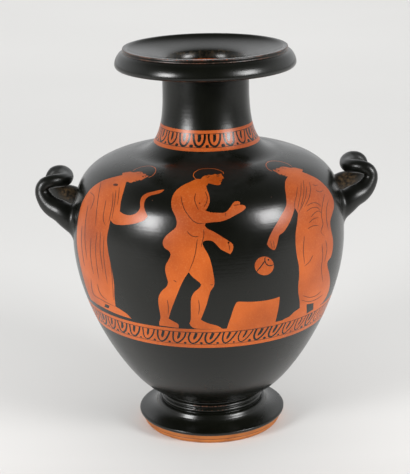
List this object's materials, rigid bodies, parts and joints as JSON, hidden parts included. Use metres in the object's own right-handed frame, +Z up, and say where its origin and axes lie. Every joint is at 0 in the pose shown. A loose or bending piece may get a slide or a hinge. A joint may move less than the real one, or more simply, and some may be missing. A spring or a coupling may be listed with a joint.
{
  "type": "hydria",
  "caption": "Black-glossed clay water jar with a broad lip, round belly, disc foot, two side handles and a back handle, painted with figures between ovolo bands.",
  "frame": {"origin": "centre of the foot on the ground, on the jar's turning axis", "axes": "+Z up along the turning axis, -Y towards the painted front, +X towards the handle at the viewer's right, +Y towards the back handle"},
  "size_m": [0.3343, 0.2656, 0.38],
  "materials": {
    "fired_clay": "black gloss slip over orange clay, left bare for figures and bands"
  },
  "bodies": {
    "root": {"hydria": "fired_clay"}
  },
  "joints": []
}
